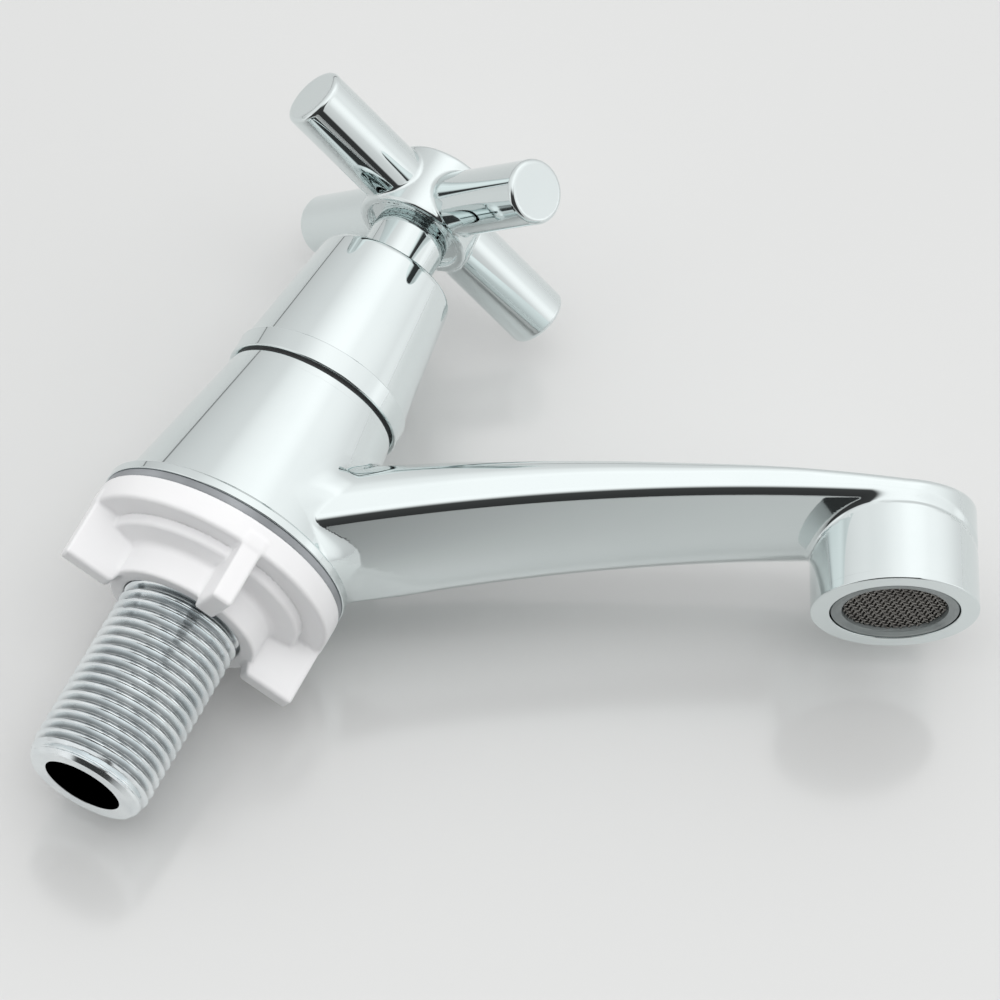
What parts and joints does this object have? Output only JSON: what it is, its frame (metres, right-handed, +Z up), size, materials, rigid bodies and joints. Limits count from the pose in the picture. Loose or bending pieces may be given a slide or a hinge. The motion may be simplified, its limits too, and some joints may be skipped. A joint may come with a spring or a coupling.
{
  "type": "basin pillar tap",
  "caption": "Chrome basin pillar tap with cross handle, quarter-turn headwork, swept flat spout with aerator, threaded inlet tail and plastic wing nut.",
  "frame": {"origin": "centre of the round foot's sealing face, where the tap stands on the basin's deck", "axes": "+Z up the body axis, +X towards the outlet, XZ the spout's plane of symmetry"},
  "size_m": [0.1398, 0.0522, 0.127],
  "materials": {
    "chrome_body": "polished chrome plate on a brass casting",
    "chrome_trim": "polished chrome plate",
    "chrome_handle": "polished chrome plate",
    "zinc_plate": "bright zinc-plated thread",
    "white_plastic": "satin moulded white",
    "grey_gasket": "mottled grey foam rubber",
    "black_rubber": "matt black",
    "brass": "turned brass",
    "ceramic": "lapped alumina",
    "slip_plastic": "natural moulded plastic",
    "spring_steel": "plain steel",
    "aerator_grey": "grey chromed plastic",
    "mesh_steel": "woven stainless wire"
  },
  "bodies": {
    "tap": {"body": "chrome_body", "inlet_tail": "zinc_plate", "tail_seal": "black_rubber", "base_gasket": "grey_gasket", "head_gasket": "black_rubber", "headwork_housing": "brass", "seat_seal": "black_rubber", "fixed_disc": "ceramic", "bonnet": "chrome_trim", "aerator_housing": "aerator_grey", "aerator_mesh": "mesh_steel", "aerator_insert": "slip_plastic", "aerator_seal": "black_rubber"},
    "control": {"handle": "chrome_handle", "neck": "chrome_trim", "handle_screw": "spring_steel", "index_cap": "chrome_handle", "spindle": "brass", "turning_disc": "ceramic", "spindle_ring_lower": "black_rubber", "spindle_ring_upper": "black_rubber", "friction_washer": "slip_plastic", "circlip": "spring_steel"},
    "nut": {"backnut": "white_plastic"}
  },
  "joints": [
    {"name": "handle_turn", "type": "hinge", "parent": "tap", "child": "control", "pos_m": [0, 0, 0.0737], "axis": [0, 0, 1], "range_deg": [0, 90]},
    {"name": "nut_travel", "type": "slide", "parent": "tap", "child": "nut", "axis": [0, 0, -1], "range_m": [0, 0.028]}
  ]
}
